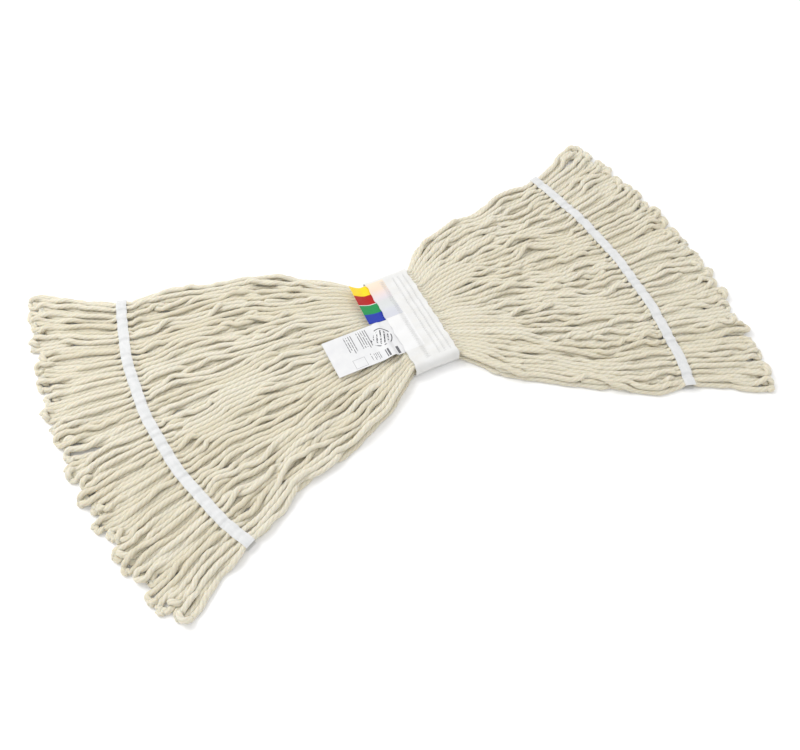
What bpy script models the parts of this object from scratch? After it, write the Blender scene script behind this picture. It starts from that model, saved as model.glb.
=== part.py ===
"""Looped-end cotton string mop head, laid flat with its two skirts spread like a bow tie.

Units are metres. +X runs along the strands from the headband's middle to the right skirt, +Y runs across
the headband, and +Z is up. The origin is the bottom centre of the whole mop head's box.
"""

import math

import bmesh
import bpy
from mathutils import Matrix, Vector

# ---------------------------------------------------------------- driving dimensions
CLEARANCE = 0.0003  # between neighbouring pieces that touch on the real mop

HEADBAND_LENGTH = 0.056  # along the strands
HEADBAND_WIDTH = 0.146  # across the strands
STRIP_THICKNESS = 0.0011
STRIP_CORNER_RADIUS = 0.0060
STRIP_LAP = 0.050  # how far the strip's two ends lie over each other underneath
CORE_THICKNESS = 0.0144  # the yarn squeezed inside the headband
SHEET_THICKNESS = 0.0003  # label and ribbon

THREAD_DIAMETER = 0.0005
SEAM_CLEARANCE = 0.0002  # under a thread, in the channel that its stitches pull into the strip
CHANNEL_DEPTH = 0.0008
CHANNEL_MARGIN = 0.0003  # on each side of a row of stitches
WIDE_ZIGZAG = 0.0060
NARROW_ZIGZAG = 0.0030
ZIGZAG_PITCH = 0.0120
SEAM_END_MARGIN = 0.0090  # from the headband's end to a seam's first stitch
WIDE_SEAM_X = -0.0080
NARROW_SEAMS_X = (0.0070, 0.0140, 0.0210)

ROOT_SWELL = 0.0003  # how far the yarn swells past its squeezed half thickness as it leaves the headband
FOLD_SETBACK = 0.0015  # from a skirt's root to the headband's edge
ROOT_STRAIGHT = 1.0  # root radii for which the bundles run straight out of the headband
LEAVING_PULL = 0.36  # share of its length over which a bundle keeps the direction in which it leaves
ARRIVING_PULL = 0.30  # the same for its direction at the tail tape
BUNDLES = 8  # yarn bundles across each skirt
BUNDLE_GAP = 0.0005
SKIRT_THICKNESS = 0.0115  # of a skirt halfway along it

TAPE_WIDTH = 0.012
TAPE_THICKNESS = 0.0008
TAPE_LENGTH = 0.379
LEFT_TAPE_RADIUS = 0.513  # of the arc that a tail tape lies in
RIGHT_TAPE_RADIUS = 0.657
YARN_IN_TAPE = 0.0076  # thickness of the yarn squeezed between the tapes
TAPE_SEAM_INSET = 0.0018  # from a tape's edge to its row of stitches
TAPE_SEAM_SHARE = 0.99  # of the tape's length
TAPE_THREAD_DIAMETER = 0.0005

LOOP_ROOT_SWELL = 0.0008  # the same past the tail tape
LOOP_ROOT_STRAIGHT = 1.5  # root radii for which a loop bundle runs straight out of the tape
LOOP_SETTLED = 3.2  # root radii by which it has its full thickness
TAPE_APPROACH = 0.010  # the bundles run straight for this far before the tail tape
TAPE_LEAD_IN = 0.0009  # they are squeezed to their thickness in the tape this far before it
LOOP_GAP = 0.0012  # between neighbouring loop bundles at their roots
LOOP_THICKNESS = 0.0108
LOOP_LENGTH = 0.106  # from the tail tape's middle line to the loops' ends
LOOP_WIDENING = 0.0015  # how much wider a loop bundle is at its end

LABEL_WIDTH = 0.0530
LABEL_FREE_LENGTH = 0.0830  # from the headband's edge to the label's free end
LABEL_NEAR_MARGIN = 0.0205  # from the near end of the headband's flat top to the label
TAB_FAR_MARGIN = 0.0005  # from the ribbon to the far end of the headband's flat top
TAB_FREE_LENGTH = 0.0200
TAB_SIDE_GAP = 0.0005  # between the label and the ribbon
SEWN_END_LENGTH = 0.0260  # how far label and ribbon run in under the headband
FLAP_START = 0.0030  # flaps start this far inside their skirt's fold axis
FLAP_HINGE_INSET = 0.0010

LEFT_REACH = 0.3197  # from the headband's middle to the middle of the left tail tape, along X
RIGHT_REACH = 0.2814
LEFT_SHIFT = -0.0041  # how far that tape's middle lies towards +Y
RIGHT_SHIFT = -0.0375

# Each skirt: its tail tape's middle, its radius and the heading that it faces. Then, for its far (+Y) and
# near (-Y) edge: how far the bundles fan out as they leave the headband, how far they turn back in before the
# tape, and how far the loop bundles lean out. Angles are in degrees.
SKIRTS = {
    "left": {
        "tape_at": (-LEFT_REACH, LEFT_SHIFT),
        "radius": LEFT_TAPE_RADIUS,
        "heading": 185.1,
        "fan": {"far": 50.0, "near": 36.0},
        "hook": {"far": 19.5, "near": -6.0},
        "lean": {"far": 14.0, "near": 3.0},
    },
    "right": {
        "tape_at": (RIGHT_REACH, RIGHT_SHIFT),
        "radius": RIGHT_TAPE_RADIUS,
        "heading": -2.85,
        "fan": {"far": 51.0, "near": 57.0},
        "hook": {"far": 0.0, "near": 0.0},
        "lean": {"far": 6.0, "near": 5.0},
    },
}

# Each material's colour and roughness.
FINISHES = {
    "yarn": ((0.82, 0.76, 0.62), 0.9),
    "headband": ((0.90, 0.90, 0.88), 0.9),
    "tape": ((0.93, 0.93, 0.92), 0.9),
    "thread": ((0.88, 0.87, 0.85), 0.6),
    "label": ((0.95, 0.95, 0.95), 0.45),
    "ribbon": ((0.10, 0.45, 0.22), 0.45),
}

# Along a skirt's bundle: share of the way to the tail tape, its underside as a share of the root's height,
# and how far its top has sunk from the root's height to the skirt's thickness.
SKIRT_PROFILE = (
    (0.0, 1.0, 0.0),
    (0.12, 0.2, 0.1),
    (0.24, 0.0, 0.35),
    (0.38, 0.0, 0.65),
    (0.54, 0.0, 0.9),
    (0.70, 0.0, 1.0),
    (0.86, 0.0, 1.0),
    (1.0, 0.0, 1.0),
)
# Along a loop bundle: share of its length, share of its width, and its underside and top as shares of its
# thickness.
LOOP_PROFILE = ((0.60, 1.0, 0.0, 1.0), (0.88, 0.98, 0.0, 0.93), (1.0, 0.86, 0.12, 0.70))

# Mesh steps.
CORNER_STEPS = 5
TAPE_STEPS = 24
TAPE_SEAM_STEPS = 18

# ---------------------------------------------------------------- heights of the stacked layers
CHANNEL_TO_THREAD = SEAM_CLEARANCE + THREAD_DIAMETER / 2
OUTER_LAP_Z = STRIP_THICKNESS / 2
BOBBIN_Z = CHANNEL_DEPTH - CHANNEL_TO_THREAD
INNER_LAP_Z = OUTER_LAP_Z + STRIP_THICKNESS + CLEARANCE
CORE_BOTTOM = INNER_LAP_Z + STRIP_THICKNESS / 2 + CLEARANCE
CORE_TOP = CORE_BOTTOM + CORE_THICKNESS
SEWN_END_BOTTOM = CORE_TOP + CLEARANCE
STRIP_TOP_Z = SEWN_END_BOTTOM + SHEET_THICKNESS + CLEARANCE + STRIP_THICKNESS / 2
NEEDLE_Z = STRIP_TOP_Z + STRIP_THICKNESS / 2 - CHANNEL_DEPTH + CHANNEL_TO_THREAD
FOLD_Z = (CORE_BOTTOM + CORE_TOP) / 2
ROOT_RADIUS = CORE_THICKNESS / 2 + ROOT_SWELL  # a skirt's root is rounded about its fold axis
ROOT_SPREAD = HEADBAND_WIDTH - 2 * (STRIP_THICKNESS + CLEARANCE)  # all the bundles together at their roots
FOLD_X = HEADBAND_LENGTH / 2 + FOLD_SETBACK + ROOT_RADIUS

TAPE_BOBBIN_Z = TAPE_THREAD_DIAMETER / 2
TAPE_LOWER_BOTTOM = TAPE_THREAD_DIAMETER + CLEARANCE
YARN_IN_TAPE_BOTTOM = TAPE_LOWER_BOTTOM + TAPE_THICKNESS + CLEARANCE
YARN_IN_TAPE_TOP = YARN_IN_TAPE_BOTTOM + YARN_IN_TAPE
TAPE_UPPER_BOTTOM = YARN_IN_TAPE_TOP + CLEARANCE
TAPE_NEEDLE_Z = TAPE_UPPER_BOTTOM + TAPE_THICKNESS + CLEARANCE + TAPE_THREAD_DIAMETER / 2
LOOP_AXIS_Z = (YARN_IN_TAPE_BOTTOM + YARN_IN_TAPE_TOP) / 2

LOOP_ROOT_RADIUS = YARN_IN_TAPE / 2 + LOOP_ROOT_SWELL
LOOP_AXIS_OUT = TAPE_WIDTH / 2 + CLEARANCE + LOOP_ROOT_RADIUS  # from the tape's middle line
RIBS = 3  # ridges along the top of a bundle
CREST, VALLEY, SHOULDER = 1.0, 0.86, 0.55  # heights on a bundle's section, as shares of half its thickness
HEEL = 0.1  # share of its width by which its underside is narrower on each side
ROOT_ANGLES = (15, 45)  # degrees round a root, from its tip
SEAMS = ((WIDE_SEAM_X, WIDE_ZIGZAG), *((x, NARROW_ZIGZAG) for x in NARROW_SEAMS_X))


# ---------------------------------------------------------------- helpers
def clear_scene():
    for obj in list(bpy.data.objects):
        bpy.data.objects.remove(obj, do_unlink=True)


def make_material(name):
    material = bpy.data.materials.new(name)
    material.use_nodes = True
    shader = material.node_tree.nodes["Principled BSDF"]
    colour, roughness = FINISHES[name]
    shader.inputs["Base Color"].default_value = (*colour, 1.0)
    shader.inputs["Roughness"].default_value = roughness
    shader.inputs["Metallic"].default_value = 0.0
    return material


def make_empty(name, location, parent=None, turn=0.0):
    """An empty at a joint, its place and turn about Z given in the mop's own frame."""
    empty = bpy.data.objects.new(name, None)
    empty.empty_display_size = 0.02
    bpy.context.collection.objects.link(empty)
    place(empty, parent, Matrix.Translation(location) @ Matrix.Rotation(turn, 4, "Z"))
    return empty


def place(obj, parent, world):
    """Parents obj and puts it at this world matrix. Every parent here is an empty with unit scale."""
    obj.parent = parent
    bpy.context.view_layer.update()
    obj.matrix_local = parent.matrix_world.inverted() @ world if parent else world
    bpy.context.view_layer.update()


def add_object(name, data, material, parent):
    """Links an object whose data is in the mop's frame, with its own origin moved to its parent."""
    data.materials.append(material)
    obj = bpy.data.objects.new(name, data)
    bpy.context.collection.objects.link(obj)
    data.transform(parent.matrix_world.inverted())
    place(obj, parent, parent.matrix_world.copy())
    return obj


def loft(name, rings, material, parent, smooth=True):
    """One closed solid through rings that all have the same number of points."""
    mesh = bpy.data.meshes.new(name)
    bm = bmesh.new()
    loops = [[bm.verts.new(point) for point in ring] for ring in rings]
    count = len(loops[0])
    for first, second in zip(loops, loops[1:]):
        for i in range(count):
            j = (i + 1) % count
            bm.faces.new((first[i], first[j], second[j], second[i]))
    bm.faces.new(loops[0])
    bm.faces.new(loops[-1])
    bmesh.ops.recalc_face_normals(bm, faces=bm.faces)
    bm.to_mesh(mesh)
    bm.free()
    if smooth:
        mesh.shade_smooth()
        mesh.set_sharp_from_angle(angle=math.radians(50))
    return add_object(name, mesh, material, parent)


def thread(name, points, diameter, material, parent):
    """A sewing thread: a bevelled poly curve with filled ends."""
    curve = bpy.data.curves.new(name, "CURVE")
    curve.dimensions = "3D"
    curve.bevel_depth = diameter / 2
    curve.bevel_resolution = 1
    curve.use_fill_caps = True
    spline = curve.splines.new("POLY")
    spline.points.add(len(points) - 1)
    for spot, point in zip(spline.points, points):
        spot.co = (*point, 1.0)
    return add_object(name, curve, material, parent)


def blend(a, b, t):
    return a + (b - a) * t


def bezier(p0, p1, p2, p3, t):
    s = 1.0 - t
    return p0 * s**3 + p1 * (3 * s * s * t) + p2 * (3 * s * t * t) + p3 * t**3


def ribbed_ring(left, right, low, high):
    """A bundle's cross-section between two plan points: flat below, rounded sides, ribbed on top."""
    middle = (low + high) / 2
    half = (high - low) / 2

    def at(share, height):
        spot = blend(left, right, share)
        return Vector((spot.x, spot.y, middle + half * height))

    ring = [at(0.0, -SHOULDER), at(0.0, SHOULDER)]
    for rib in range(RIBS):
        ring.append(at((rib + 0.5) / RIBS, CREST))
        if rib < RIBS - 1:
            ring.append(at((rib + 1.0) / RIBS, VALLEY))
    ring += [at(1.0, SHOULDER), at(1.0, -SHOULDER)]
    ring += [at(1.0 - HEEL, -CREST), at(HEEL, -CREST)]
    return ring


def root_profile(radius):
    """Rings that round a bundle's root about its fold axis: distance along it, and half thickness."""
    return [(-radius * math.cos(math.radians(a)), radius * math.sin(math.radians(a))) for a in ROOT_ANGLES]


# ---------------------------------------------------------------- headband
def strip_path():
    """The strip's middle line round the yarn, seen along X, from its inner end over the top to its outer."""
    corner = STRIP_CORNER_RADIUS
    reach = HEADBAND_WIDTH / 2 - STRIP_THICKNESS / 2 - corner
    corners = (
        (-reach, INNER_LAP_Z + corner, 270, 180),
        (-reach, STRIP_TOP_Z - corner, 180, 90),
        (reach, STRIP_TOP_Z - corner, 90, 0),
        (reach, OUTER_LAP_Z + corner, 0, -90),
    )
    path = [(Vector((STRIP_LAP / 2, INNER_LAP_Z)), 270)]
    for y, z, start, end in corners:
        for step in range(CORNER_STEPS + 1):
            angle = start + (end - start) * step / CORNER_STEPS
            direction = Vector((math.cos(math.radians(angle)), math.sin(math.radians(angle))))
            path.append((Vector((y, z)) + direction * corner, angle))
    path.append((Vector((-STRIP_LAP / 2, OUTER_LAP_Z)), -90))
    return path


def strip_profile():
    """The strip's outer face along X: (x, depth below the face), with a channel for each row of stitches."""
    profile = [(-HEADBAND_LENGTH / 2, 0.0)]
    for x, width in SEAMS:
        half = (width + THREAD_DIAMETER) / 2 + CHANNEL_MARGIN
        profile += [(x - half, 0.0), (x - half, CHANNEL_DEPTH), (x + half, CHANNEL_DEPTH), (x + half, 0.0)]
    profile.append((HEADBAND_LENGTH / 2, 0.0))
    return profile


def build_strip(material, parent):
    half_length = HEADBAND_LENGTH / 2
    rings = []
    for point, angle in strip_path():
        outward = Vector((math.cos(math.radians(angle)), math.sin(math.radians(angle))))
        ring = []
        for x, depth in strip_profile():
            ring.append(Vector((x, *(point + outward * (STRIP_THICKNESS / 2 - depth)))))
        inner = point - outward * STRIP_THICKNESS / 2
        ring += [Vector((half_length, *inner)), Vector((-half_length, *inner))]
        rings.append(ring)
    loft("headband_strip", rings, material, parent)


def build_core(material, parent):
    """The yarn where it fills the headband, with rounded sides that follow the strip's corners."""
    inset = STRIP_THICKNESS + CLEARANCE
    half_width = HEADBAND_WIDTH / 2 - inset
    radius = STRIP_CORNER_RADIUS
    outline = []
    for y_sign, z, start in (
        (1, CORE_TOP - radius, 0),
        (-1, CORE_TOP - radius, 90),
        (-1, CORE_BOTTOM + radius, 180),
        (1, CORE_BOTTOM + radius, 270),
    ):
        for step in range(CORNER_STEPS + 1):
            angle = math.radians(start + 90 * step / CORNER_STEPS)
            y = y_sign * (half_width - radius) + radius * math.cos(angle)
            outline.append((y, z + radius * math.sin(angle)))
    half_length = HEADBAND_LENGTH / 2
    rings = [[Vector((x, y, z)) for y, z in outline] for x in (-half_length, half_length)]
    loft("yarn_core", rings, material, parent)


def zigzag(x, width, z):
    """A row of zigzag stitches along Y."""
    span = HEADBAND_WIDTH - 2 * SEAM_END_MARGIN
    count = max(2, round(2 * span / ZIGZAG_PITCH))
    points = []
    for i in range(count + 1):
        side = width / 2 if i % 2 else -width / 2
        points.append(Vector((x + side, -span / 2 + span * i / count, z)))
    return points


def build_headband_threads(material, parent):
    for number, (x, width) in enumerate(SEAMS, 1):
        above = zigzag(x, width, NEEDLE_Z)
        thread(f"headband_needle_thread_{number}", above, THREAD_DIAMETER, material, parent)
        below = [point for point in zigzag(x, width, BOBBIN_Z) if point.y > -STRIP_LAP / 2]
        thread(f"headband_bobbin_thread_{number}", below, THREAD_DIAMETER, material, parent)


# ---------------------------------------------------------------- label and ribbon
def sheet_block(name, x_range, y_range, bottom, material, parent):
    rings = []
    for x in x_range:
        rings.append(
            [
                Vector((x, y_range[0], bottom)),
                Vector((x, y_range[1], bottom)),
                Vector((x, y_range[1], bottom + SHEET_THICKNESS)),
                Vector((x, y_range[0], bottom + SHEET_THICKNESS)),
            ]
        )
    loft(name, rings, material, parent, smooth=False)


def build_flap(name, y_range, free_length, material, headband, skirt):
    """A sheet sewn in under the headband: its sewn end, and its free flap, hinged on the skirt's root."""
    edge = -HEADBAND_LENGTH / 2
    sewn = (edge + SEWN_END_LENGTH, edge)
    sheet_block(f"{name}_sewn_end", sewn, y_range, SEWN_END_BOTTOM, material, headband)
    start = -FOLD_X + FLAP_START
    bottom = FOLD_Z + ROOT_RADIUS + CLEARANCE
    hinge_at = Vector((start - FLAP_HINGE_INSET, sum(y_range) / 2, bottom + SHEET_THICKNESS / 2))
    hinge = make_empty(f"{name}_hinge", hinge_at, skirt)
    sheet_block(f"{name}_flap", (start, edge - free_length), y_range, bottom, material, hinge)


# ---------------------------------------------------------------- skirts
def tape_frame(side):
    """The centre of a tail tape's arc, its radius and its middle heading in radians."""
    radius = SKIRTS[side]["radius"]
    heading = math.radians(SKIRTS[side]["heading"])
    middle = Vector(SKIRTS[side]["tape_at"])
    return middle - radius * Vector((math.cos(heading), math.sin(heading))), radius, heading


def tape_point(side, share, out=0.0):
    """A point at this distance outside the tape's middle line. Share runs from -1, near, to 1, far."""
    centre, radius, heading = tape_frame(side)
    turn = -1 if side == "left" else 1
    angle = heading + turn * share * TAPE_LENGTH / radius / 2
    outward = Vector((math.cos(angle), math.sin(angle)))
    return centre + (radius + out) * outward, outward


def edge_angle(side, kind, share):
    """A skirt's angle of this kind at its edge on the side where share lies, in radians."""
    return math.radians(SKIRTS[side][kind]["far" if share > 0 else "near"])


def bundle_edge(side, share):
    """The plan line between two bundles, from the fold axis to the tape's outer edge, as named points."""
    sign = -1 if side == "left" else 1
    along = Vector((sign, 0.0))
    root = Vector((sign * FOLD_X, share * ROOT_SPREAD / 2))
    straight = root + along * ROOT_RADIUS * ROOT_STRAIGHT
    tape_in, outward = tape_point(side, share, -TAPE_WIDTH / 2 - TAPE_APPROACH)
    fan = edge_angle(side, "fan", share) * share
    leaving = Vector((sign * math.cos(fan), math.sin(fan)))
    hook = -sign * edge_angle(side, "hook", share) * share * abs(share)
    arriving = Matrix.Rotation(hook, 2) @ outward
    span = (tape_in - straight).length
    return {
        "root": root,
        "along": along,
        "curve": (
            straight,
            straight + leaving * span * LEAVING_PULL,
            tape_in - arriving * span * ARRIVING_PULL,
            tape_in,
        ),
        "before": tape_point(side, share, -TAPE_WIDTH / 2 - TAPE_LEAD_IN)[0],
        "end": tape_point(side, share, TAPE_WIDTH / 2)[0],
    }


def skirt_stations():
    """Stations along a skirt's bundle: which plan point on an edge line, and bottom and top heights."""
    root_low, root_high = FOLD_Z - ROOT_RADIUS, FOLD_Z + ROOT_RADIUS
    stations = []
    for distance, half in root_profile(ROOT_RADIUS):
        stations.append((("root", distance), FOLD_Z - half, FOLD_Z + half))
    stations.append((("root", 0.0), root_low, root_high))
    for share, lift, sunk in SKIRT_PROFILE:
        stations.append((("curve", share), root_low * lift, blend(root_high, SKIRT_THICKNESS, sunk)))
    stations.append((("before", 0.0), YARN_IN_TAPE_BOTTOM, YARN_IN_TAPE_TOP))
    stations.append((("end", 0.0), YARN_IN_TAPE_BOTTOM, YARN_IN_TAPE_TOP))
    return stations


def plan_point(edge, place_on):
    kind, value = place_on
    if kind == "root":
        return edge["root"] + edge["along"] * value
    if kind == "curve":
        return bezier(*edge["curve"], value)
    return edge[kind]


def inset_pair(a, b, gap):
    """Two plan points moved towards each other by half a gap."""
    step = (b - a).normalized() * gap / 2
    return a + step, b - step


def build_yarn_bundle(side, number, material, parent):
    shares = [2 * (number + k) / BUNDLES - 1 for k in (0, 1)]
    edges = [bundle_edge(side, share) for share in shares]
    rings = []
    for place_on, low, high in skirt_stations():
        left, right = inset_pair(*(plan_point(edge, place_on) for edge in edges), BUNDLE_GAP)
        rings.append(ribbed_ring(left, right, low, high))
    loft(f"{side}_yarn_bundle_{number + 1}", rings, material, parent)


def loop_stations():
    """Stations along a loop bundle: distance from its axis, share of its width, bottom and top heights."""
    length = LOOP_LENGTH - LOOP_AXIS_OUT
    low, high = LOOP_AXIS_Z - LOOP_ROOT_RADIUS, LOOP_AXIS_Z + LOOP_ROOT_RADIUS
    stations = []
    for distance, half in root_profile(LOOP_ROOT_RADIUS):
        stations.append((distance, 1.0, LOOP_AXIS_Z - half, LOOP_AXIS_Z + half))
    stations.append((0.0, 1.0, low, high))
    stations.append((LOOP_ROOT_RADIUS * LOOP_ROOT_STRAIGHT, 1.0, low, high))
    stations.append((LOOP_ROOT_RADIUS * LOOP_SETTLED, 1.0, 0.0, LOOP_THICKNESS))
    for share, width, underside, top in LOOP_PROFILE:
        stations.append((length * share, width, LOOP_THICKNESS * underside, LOOP_THICKNESS * top))
    return stations


def lean_at(side, share):
    """How far a loop bundle leans outward to its side, as a tangent, signed towards +share."""
    return math.tan(edge_angle(side, "lean", share) * share)


def build_loop_bundle(side, number, material, skirt):
    share = 2 * (number + 0.5) / BUNDLES - 1
    axis_at, outward = tape_point(side, share, LOOP_AXIS_OUT)
    across = Vector((-outward.y, outward.x)) * (-1 if side == "left" else 1)
    radius = SKIRTS[side]["radius"]
    step = TAPE_LENGTH / radius / BUNDLES
    width = 2 * (radius + LOOP_AXIS_OUT) * math.sin(step / 2) - LOOP_GAP
    length = LOOP_LENGTH - LOOP_AXIS_OUT
    turn = math.atan2(outward.y, outward.x)
    hinge = make_empty(f"{side}_loop_hinge_{number + 1}", Vector((*axis_at, LOOP_AXIS_Z)), skirt, turn)
    rings = []
    for distance, width_share, low, high in loop_stations():
        past_root = max(0.0, distance - LOOP_ROOT_RADIUS * LOOP_ROOT_STRAIGHT)
        shift = past_root * lean_at(side, share)
        half = (width + LOOP_WIDENING * past_root / length) * width_share / 2
        spot = axis_at + outward * distance + across * shift
        rings.append(ribbed_ring(spot - across * half, spot + across * half, low, high))
    loft(f"{side}_loop_bundle_{number + 1}", rings, material, hinge)


def build_tape(side, layer, bottom, material, parent):
    rings = []
    for i in range(TAPE_STEPS + 1):
        share = -1 + 2 * i / TAPE_STEPS
        inner = tape_point(side, share, -TAPE_WIDTH / 2)[0]
        outer = tape_point(side, share, TAPE_WIDTH / 2)[0]
        top = bottom + TAPE_THICKNESS
        rings.append(
            [Vector((*inner, bottom)), Vector((*outer, bottom)), Vector((*outer, top)), Vector((*inner, top))]
        )
    loft(f"{side}_tape_{layer}", rings, material, parent)


def build_tape_threads(side, material, parent):
    for row, sign in (("inner", -1), ("outer", 1)):
        out = sign * (TAPE_WIDTH / 2 - TAPE_SEAM_INSET)
        for kind, z in (("needle", TAPE_NEEDLE_Z), ("bobbin", TAPE_BOBBIN_Z)):
            shares = [TAPE_SEAM_SHARE * (-1 + 2 * i / TAPE_SEAM_STEPS) for i in range(TAPE_SEAM_STEPS + 1)]
            points = [Vector((*tape_point(side, share, out)[0], z)) for share in shares]
            thread(f"{side}_tape_{row}_{kind}_thread", points, TAPE_THREAD_DIAMETER, material, parent)


def build_skirt(side, materials, headband):
    sign = -1 if side == "left" else 1
    skirt = make_empty(f"{side}_skirt_hinge", Vector((sign * FOLD_X, 0.0, FOLD_Z)), headband)
    for number in range(BUNDLES):
        build_yarn_bundle(side, number, materials["yarn"], skirt)
        build_loop_bundle(side, number, materials["yarn"], skirt)
    build_tape(side, "upper", TAPE_UPPER_BOTTOM, materials["tape"], skirt)
    build_tape(side, "lower", TAPE_LOWER_BOTTOM, materials["tape"], skirt)
    build_tape_threads(side, materials["thread"], skirt)
    return skirt


# ---------------------------------------------------------------- whole mop head
def centre_on_origin(root):
    """Moves the mop head so that the bottom centre of its box is the origin."""
    bpy.context.view_layer.update()
    corners = []
    for obj in bpy.data.objects:
        if obj.type != "EMPTY":
            corners += [obj.matrix_world @ Vector(corner) for corner in obj.bound_box]
    middle = [(min(c[i] for c in corners) + max(c[i] for c in corners)) / 2 for i in (0, 1)]
    root.location -= Vector((*middle, min(c.z for c in corners)))
    bpy.context.view_layer.update()


def main():
    clear_scene()
    materials = {name: make_material(name) for name in FINISHES}
    headband = make_empty("mop_head", Vector((0.0, 0.0, 0.0)))
    build_strip(materials["headband"], headband)
    build_core(materials["yarn"], headband)
    build_headband_threads(materials["thread"], headband)
    skirts = {side: build_skirt(side, materials, headband) for side in SKIRTS}
    flat_end = HEADBAND_WIDTH / 2 - STRIP_THICKNESS / 2 - STRIP_CORNER_RADIUS
    label_near = LABEL_NEAR_MARGIN - flat_end
    label_y = (label_near, label_near + LABEL_WIDTH)
    tab_y = (label_y[1] + TAB_SIDE_GAP, flat_end - TAB_FAR_MARGIN)
    build_flap("label", label_y, LABEL_FREE_LENGTH, materials["label"], headband, skirts["left"])
    build_flap("colour_tab", tab_y, TAB_FREE_LENGTH, materials["ribbon"], headband, skirts["left"])
    centre_on_origin(headband)


main()
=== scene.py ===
"""A looped-end string mop head laid flat: twisted strands, headband, tail tapes, label and ribbon."""

import math

import bpy
import numpy as np
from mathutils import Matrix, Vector


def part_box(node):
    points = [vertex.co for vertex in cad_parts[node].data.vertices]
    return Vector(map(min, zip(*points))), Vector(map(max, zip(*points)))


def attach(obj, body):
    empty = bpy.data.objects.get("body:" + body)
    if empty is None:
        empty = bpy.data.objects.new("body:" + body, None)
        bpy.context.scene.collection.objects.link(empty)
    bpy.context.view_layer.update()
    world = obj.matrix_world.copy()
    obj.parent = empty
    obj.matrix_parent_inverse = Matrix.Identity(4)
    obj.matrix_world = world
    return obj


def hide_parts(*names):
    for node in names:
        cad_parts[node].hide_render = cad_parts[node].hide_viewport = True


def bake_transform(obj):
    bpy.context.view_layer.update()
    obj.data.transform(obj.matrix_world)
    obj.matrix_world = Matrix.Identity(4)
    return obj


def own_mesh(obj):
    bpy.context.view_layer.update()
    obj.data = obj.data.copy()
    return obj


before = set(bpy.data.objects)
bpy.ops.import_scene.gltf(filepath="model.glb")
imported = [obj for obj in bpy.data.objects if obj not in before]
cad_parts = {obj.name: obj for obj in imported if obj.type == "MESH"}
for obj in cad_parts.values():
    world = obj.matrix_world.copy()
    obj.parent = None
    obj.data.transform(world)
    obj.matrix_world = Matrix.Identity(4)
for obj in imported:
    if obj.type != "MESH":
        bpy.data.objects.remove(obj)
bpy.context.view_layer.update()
RNG = np.random.default_rng(11)

# ---------------- the frame's own sizes, in metres
SIDES = ("left", "right")
SIGN = {"left": -1.0, "right": 1.0}
BUNDLES = 8
BAND_LOW, BAND_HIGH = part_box("headband_strip")
HUB = np.array([(BAND_LOW[0] + BAND_HIGH[0]) / 2, (BAND_LOW[1] + BAND_HIGH[1]) / 2])
BAND_HALF_LENGTH = (BAND_HIGH[0] - BAND_LOW[0]) / 2
BAND_HALF_WIDTH = (BAND_HIGH[1] - BAND_LOW[1]) / 2
BAND_TOP = BAND_HIGH[2]
STRIP_THICKNESS = 0.0011
CORE_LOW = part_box("yarn_core")[0][2]
CORE_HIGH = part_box("yarn_core")[1][2]
TAPE_WIDTH = 0.012
TAPE_LENGTH = 0.379
TAPE_RADIUS = {"left": 0.513, "right": 0.657}
TAPE_AT = {"left": (-0.3197, -0.0041), "right": (0.2814, -0.0375)}
TAPE_HEADING = {"left": math.radians(185.1), "right": math.radians(-2.85)}
# In degrees, at a skirt's far and near edge: how far the strands fan out as they leave the headband, how far
# they turn back in before the tape, and how far the loops lean out.
FAN = {"left": (50.0, 42.0), "right": (57.0, 57.0)}
HOOK = {"left": (19.5, -6.0), "right": (0.0, 0.0)}
LEAN = {"left": (18.0, 3.0), "right": (10.0, 9.0)}
TAPE_YARN_LOW, TAPE_YARN_HIGH = 0.0019, 0.0095

# ---------------- the strands
YARN_DIAMETER = 0.006
COLUMNS = 6  # strands across a bundle at the tape, in each of two layers
MOUTH_COLUMNS, MOUTH_LAYERS = 4, 3
LEG_POINTS = 54  # along a strand from inside the headband to the tape
FRINGE_POINTS = 20  # from the tape to where a loop begins to turn
TURN_POINTS = 7
HALF = LEG_POINTS + FRINGE_POINTS
ROUTE_POINTS = 2 * HALF + TURN_POINTS
MOUTH_X = 0.024  # where the skirt's strands meet those inside the headband
STRAIGHT_END = 0.036  # how far from the headband's middle the strands run straight
TAPE_RUN_IN = 0.016  # how far before the tape they run straight again
# The radius at which strands touch: lying free, squeezed in the headband, and between the tapes.
FREE_RADIUS, MOUTH_RADIUS, TAPE_PINCH_RADIUS = 0.00285, 0.00228, 0.00190
TAPE_PINCH_POINTS = 3.6  # points along a route over which the tapes squeeze it
LOOP_TURN_RADIUS = 0.0058
# Length past the tape's middle line at the far end, middle and near end.
FRINGE = {"left": (0.114, 0.099, 0.105), "right": (0.103, 0.104, 0.101)}


def tape_point(side, share, out):
    """Plan points at a distance outside the tape's middle line, share running from -1, near, to 1, far."""
    heading = TAPE_HEADING[side]
    radius = TAPE_RADIUS[side]
    centre = np.array(TAPE_AT[side]) - radius * np.array([math.cos(heading), math.sin(heading)])
    angle = heading + SIGN[side] * share * TAPE_LENGTH / radius / 2
    outward = np.stack([np.cos(angle), np.sin(angle)], -1)
    return HUB + centre + (radius + out)[..., None] * outward, outward


def smooth(x, low=0.0, high=1.0):
    t = np.clip((x - low) / (high - low), 0, 1)
    return t * t * (3 - 2 * t)


def edge_angle(angles, side, share):
    return np.radians(np.where(share > 0, *angles[side]))


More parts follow.
